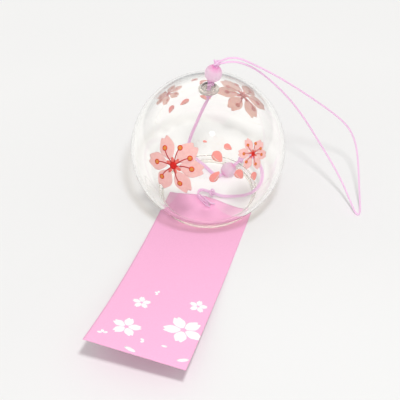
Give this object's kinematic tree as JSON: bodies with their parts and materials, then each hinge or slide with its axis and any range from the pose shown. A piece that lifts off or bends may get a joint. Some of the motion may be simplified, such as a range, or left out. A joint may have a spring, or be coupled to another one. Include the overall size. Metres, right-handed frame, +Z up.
{
  "type": "wind bell",
  "caption": "Blown glass globe wind bell with a cord, pink beads, a clapper inside the mouth and a hanging paper strip.",
  "frame": {"origin": "on the surface that the bell stands on, under the middle of the globe and the strip", "axes": "+Z up along the globe's axis, +Y from the strip's free end towards the globe, +X to the side where the hanging loop lies"},
  "size_m": [0.1166, 0.1487, 0.0857],
  "materials": {
    "glass": "clear blown glass, polished, with painted blossoms",
    "paper": "matte pink card with a white blossom print",
    "clear_plastic": "clear flexible plastic",
    "bead": "pale pink acrylic, polished",
    "cord": "pale pink braided nylon cord"
  },
  "bodies": {
    "bell": {"glass_bell": "glass"},
    "hanger": {"stopper_knot": "cord", "stem_cord_lower": "cord", "collar_knot": "cord", "stem_cord_upper": "cord", "top_knot": "cord"},
    "washer": {"hole_washer": "clear_plastic"},
    "loop": {"hanging_loop": "cord"},
    "top_bead": {"upper_bead": "bead"},
    "clapper": {"clapper_cord": "cord", "clapper_knot": "cord", "tail_cord": "cord", "tie_knot": "cord", "tie_loop": "cord"},
    "clapper_ball": {"clapper_bead": "bead"},
    "strip": {"tanzaku_strip": "paper"}
  },
  "joints": [
    {"name": "hanger_turn", "type": "hinge", "parent": "bell", "child": "hanger", "pos_m": [0, 0.03636, 0.06785], "axis": [0, 0, 1], "continuous": true},
    {"name": "washer_spin", "type": "hinge", "parent": "hanger", "child": "washer", "pos_m": [0, 0.03636, 0.06735], "axis": [0, 0, 1], "continuous": true},
    {"name": "loop_swing", "type": "hinge", "parent": "hanger", "child": "loop", "pos_m": [0.0033, 0.03745, 0.08234], "axis": [0.107, -0.9943, 0], "range_deg": [0, 138]},
    {"name": "top_bead_spin", "type": "hinge", "parent": "hanger", "child": "top_bead", "pos_m": [0.00201, 0.03702, 0.07665], "axis": [0.2217, 0.0731, 0.9724], "continuous": true},
    {"name": "clapper_swing", "type": "hinge", "parent": "hanger", "child": "clapper", "pos_m": [0, 0.03636, 0.06255], "axis": [0, 0, 1], "range_deg": [-20, 20]},
    {"name": "clapper_bead_spin", "type": "hinge", "parent": "clapper", "child": "clapper_ball", "pos_m": [0.0065, 0.05296, 0.0043], "axis": [0.6219, 0.6019, 0.5009], "continuous": true},
    {"name": "strip_swing", "type": "hinge", "parent": "clapper", "child": "strip", "pos_m": [0.0031, 0.02676, 0.0022], "axis": [0, 0, 1], "range_deg": [-8, 8]}
  ]
}
